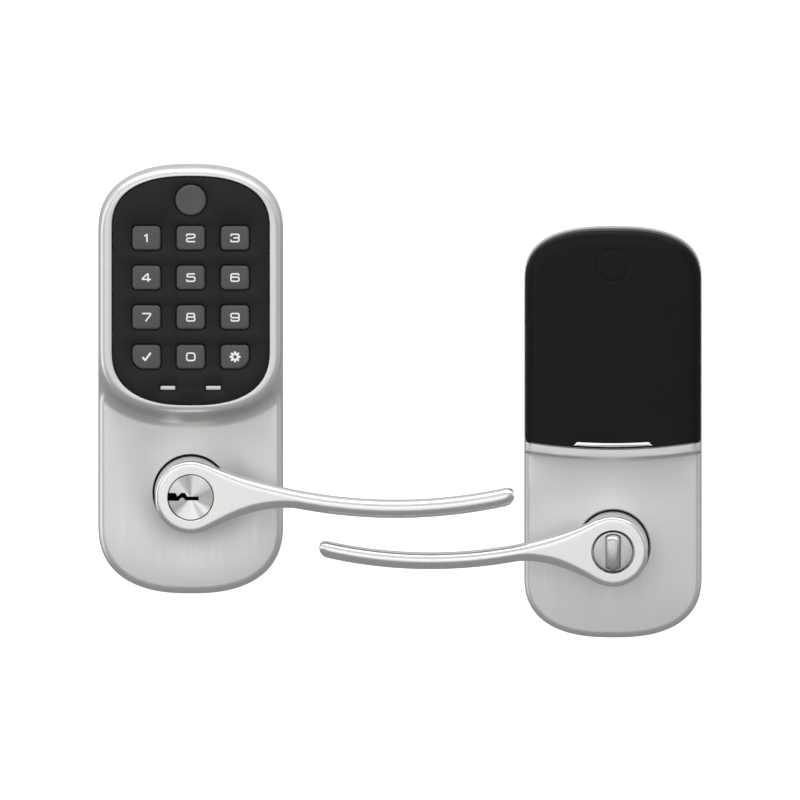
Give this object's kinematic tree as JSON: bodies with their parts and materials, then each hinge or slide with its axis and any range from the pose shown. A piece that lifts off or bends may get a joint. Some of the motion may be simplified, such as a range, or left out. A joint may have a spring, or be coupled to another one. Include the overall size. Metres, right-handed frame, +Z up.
{
  "type": "keypad smart lock",
  "caption": "Keypad lever lock in satin nickel: outside half with push-button keypad and keyed lever, inside half with battery cover and thumb-turn lever.",
  "frame": {"origin": "where the exterior lever's axis meets the door plane, which both halves' backs touch", "axes": "-Y out of the door towards the person at the keypad, +Z up, +X to the right seen from the front, where the interior half lies"},
  "size_m": [0.2414, 0.086, 0.1892],
  "materials": {
    "satin_nickel": "satin nickel plate over cast zinc, brushed upright on the plates",
    "polished_nickel": "bright nickel, spun on the round faces",
    "zinc_plated_steel": "zinc plated",
    "brass": "machined",
    "fascia_plastic": "fine satin texture",
    "cover_plastic": "fine satin texture",
    "tray_plastic": "moulded",
    "key_plastic": "satin with bevelled edges",
    "rubber": "moulded",
    "circuit_board": "solder mask",
    "cell_wrap": "printed wrap, left plain"
  },
  "bodies": {
    "housings": {"exterior_gasket": "rubber", "exterior_back_plate": "zinc_plated_steel", "exterior_escutcheon": "satin_nickel", "exterior_screw_left": "zinc_plated_steel", "exterior_screw_right": "zinc_plated_steel", "exterior_post_left": "zinc_plated_steel", "exterior_post_right": "zinc_plated_steel", "keypad_fascia": "fascia_plastic", "keypad_membrane": "rubber", "keypad_circuit_board": "circuit_board", "terminal_left": "polished_nickel", "terminal_right": "polished_nickel", "speaker": "zinc_plated_steel", "exterior_bearing": "brass", "exterior_spring_cage": "zinc_plated_steel", "exterior_return_spring": "zinc_plated_steel", "interior_mounting_plate": "zinc_plated_steel", "interior_escutcheon": "satin_nickel", "battery_tray": "tray_plastic", "battery_1": "cell_wrap", "battery_2": "cell_wrap", "battery_3": "cell_wrap", "battery_4": "cell_wrap", "battery_contacts_lower": "polished_nickel", "battery_contacts_upper": "polished_nickel", "interior_circuit_board": "circuit_board", "interior_bearing": "brass", "interior_spring_cage": "zinc_plated_steel", "interior_return_spring": "zinc_plated_steel", "through_bolt_left": "zinc_plated_steel", "through_bolt_right": "zinc_plated_steel", "clutch_motor": "zinc_plated_steel"},
    "key_1": {"key_1": "key_plastic"},
    "key_2": {"key_2": "key_plastic"},
    "key_3": {"key_3": "key_plastic"},
    "key_4": {"key_4": "key_plastic"},
    "key_5": {"key_5": "key_plastic"},
    "key_6": {"key_6": "key_plastic"},
    "key_7": {"key_7": "key_plastic"},
    "key_8": {"key_8": "key_plastic"},
    "key_9": {"key_9": "key_plastic"},
    "key_0": {"key_0": "key_plastic"},
    "key_enter": {"key_enter": "key_plastic"},
    "key_menu": {"key_menu": "key_plastic"},
    "wake_button": {"wake_button": "key_plastic"},
    "exterior_lever": {"exterior_lever": "satin_nickel", "cylinder_shell": "brass", "exterior_retaining_ring": "zinc_plated_steel", "exterior_spindle": "zinc_plated_steel"},
    "cylinder_plug": {"cylinder_plug": "polished_nickel", "cylinder_tailpiece": "zinc_plated_steel"},
    "interior_lever": {"interior_lever": "satin_nickel", "interior_retaining_ring": "zinc_plated_steel", "interior_spindle": "zinc_plated_steel"},
    "thumb_turn": {"thumb_turn": "polished_nickel", "thumb_turn_spindle": "zinc_plated_steel"},
    "battery_cover": {"battery_cover": "cover_plastic", "cover_grip": "polished_nickel"},
    "clutch_screw": {"clutch_screw": "zinc_plated_steel"},
    "clutch_slider": {"clutch_slider": "brass"}
  },
  "joints": [
    {"name": "key_1_press", "type": "slide", "parent": "housings", "child": "key_1", "axis": [0, 1, 0], "range_m": [0, 0.0009], "stiffness_N_per_m": 600, "springref_m": -0.0008},
    {"name": "key_2_press", "type": "slide", "parent": "housings", "child": "key_2", "axis": [0, 1, 0], "range_m": [0, 0.0009], "stiffness_N_per_m": 600, "springref_m": -0.0008},
    {"name": "key_3_press", "type": "slide", "parent": "housings", "child": "key_3", "axis": [0, 1, 0], "range_m": [0, 0.0009], "stiffness_N_per_m": 600, "springref_m": -0.0008},
    {"name": "key_4_press", "type": "slide", "parent": "housings", "child": "key_4", "axis": [0, 1, 0], "range_m": [0, 0.0009], "stiffness_N_per_m": 600, "springref_m": -0.0008},
    {"name": "key_5_press", "type": "slide", "parent": "housings", "child": "key_5", "axis": [0, 1, 0], "range_m": [0, 0.0009], "stiffness_N_per_m": 600, "springref_m": -0.0008},
    {"name": "key_6_press", "type": "slide", "parent": "housings", "child": "key_6", "axis": [0, 1, 0], "range_m": [0, 0.0009], "stiffness_N_per_m": 600, "springref_m": -0.0008},
    {"name": "key_7_press", "type": "slide", "parent": "housings", "child": "key_7", "axis": [0, 1, 0], "range_m": [0, 0.0009], "stiffness_N_per_m": 600, "springref_m": -0.0008},
    {"name": "key_8_press", "type": "slide", "parent": "housings", "child": "key_8", "axis": [0, 1, 0], "range_m": [0, 0.0009], "stiffness_N_per_m": 600, "springref_m": -0.0008},
    {"name": "key_9_press", "type": "slide", "parent": "housings", "child": "key_9", "axis": [0, 1, 0], "range_m": [0, 0.0009], "stiffness_N_per_m": 600, "springref_m": -0.0008},
    {"name": "key_0_press", "type": "slide", "parent": "housings", "child": "key_0", "axis": [0, 1, 0], "range_m": [0, 0.0009], "stiffness_N_per_m": 600, "springref_m": -0.0008},
    {"name": "key_enter_press", "type": "slide", "parent": "housings", "child": "key_enter", "axis": [0, 1, 0], "range_m": [0, 0.0009], "stiffness_N_per_m": 600, "springref_m": -0.0008},
    {"name": "key_menu_press", "type": "slide", "parent": "housings", "child": "key_menu", "axis": [0, 1, 0], "range_m": [0, 0.0009], "stiffness_N_per_m": 600, "springref_m": -0.0008},
    {"name": "wake_button_press", "type": "slide", "parent": "housings", "child": "wake_button", "axis": [0, 1, 0], "range_m": [0, 0.0009], "stiffness_N_per_m": 600, "springref_m": -0.0008},
    {"name": "exterior_lever_turn", "type": "hinge", "parent": "housings", "child": "exterior_lever", "pos_m": [0, 0, 0], "axis": [0, -1, 0], "range_deg": [0, 50], "stiffness_Nm_per_rad": 1, "springref_deg": -28.65},
    {"name": "cylinder_plug_turn", "type": "hinge", "parent": "exterior_lever", "child": "cylinder_plug", "pos_m": [0, 0, 0], "axis": [0, 1, 0], "range_deg": [-90, 90]},
    {"name": "interior_lever_turn", "type": "hinge", "parent": "housings", "child": "interior_lever", "pos_m": [0.1689, 0, -0.0217], "axis": [0, -1, 0], "range_deg": [0, 50], "stiffness_Nm_per_rad": 1, "springref_deg": -28.65},
    {"name": "thumb_turn_turn", "type": "hinge", "parent": "interior_lever", "child": "thumb_turn", "pos_m": [0.1689, 0, -0.0217], "axis": [0, 1, 0], "range_deg": [0, 90]},
    {"name": "battery_cover_slide", "type": "slide", "parent": "housings", "child": "battery_cover", "axis": [0, 0, 1], "range_m": [0, 0.09]},
    {"name": "clutch_screw_turn", "type": "hinge", "parent": "housings", "child": "clutch_screw", "pos_m": [0.1689, -0.0078, 0.0031], "axis": [1, 0, 0], "range_deg": [0, 720]},
    {"name": "clutch_slider_slide", "type": "slide", "parent": "housings", "child": "clutch_slider", "axis": [-1, 0, 0], "range_m": [0, 0.0028]}
  ],
  "couplings": [
    {"joint": "clutch_screw_turn", "follows": "clutch_slider_slide", "rad_per_m": 4435.2}
  ]
}
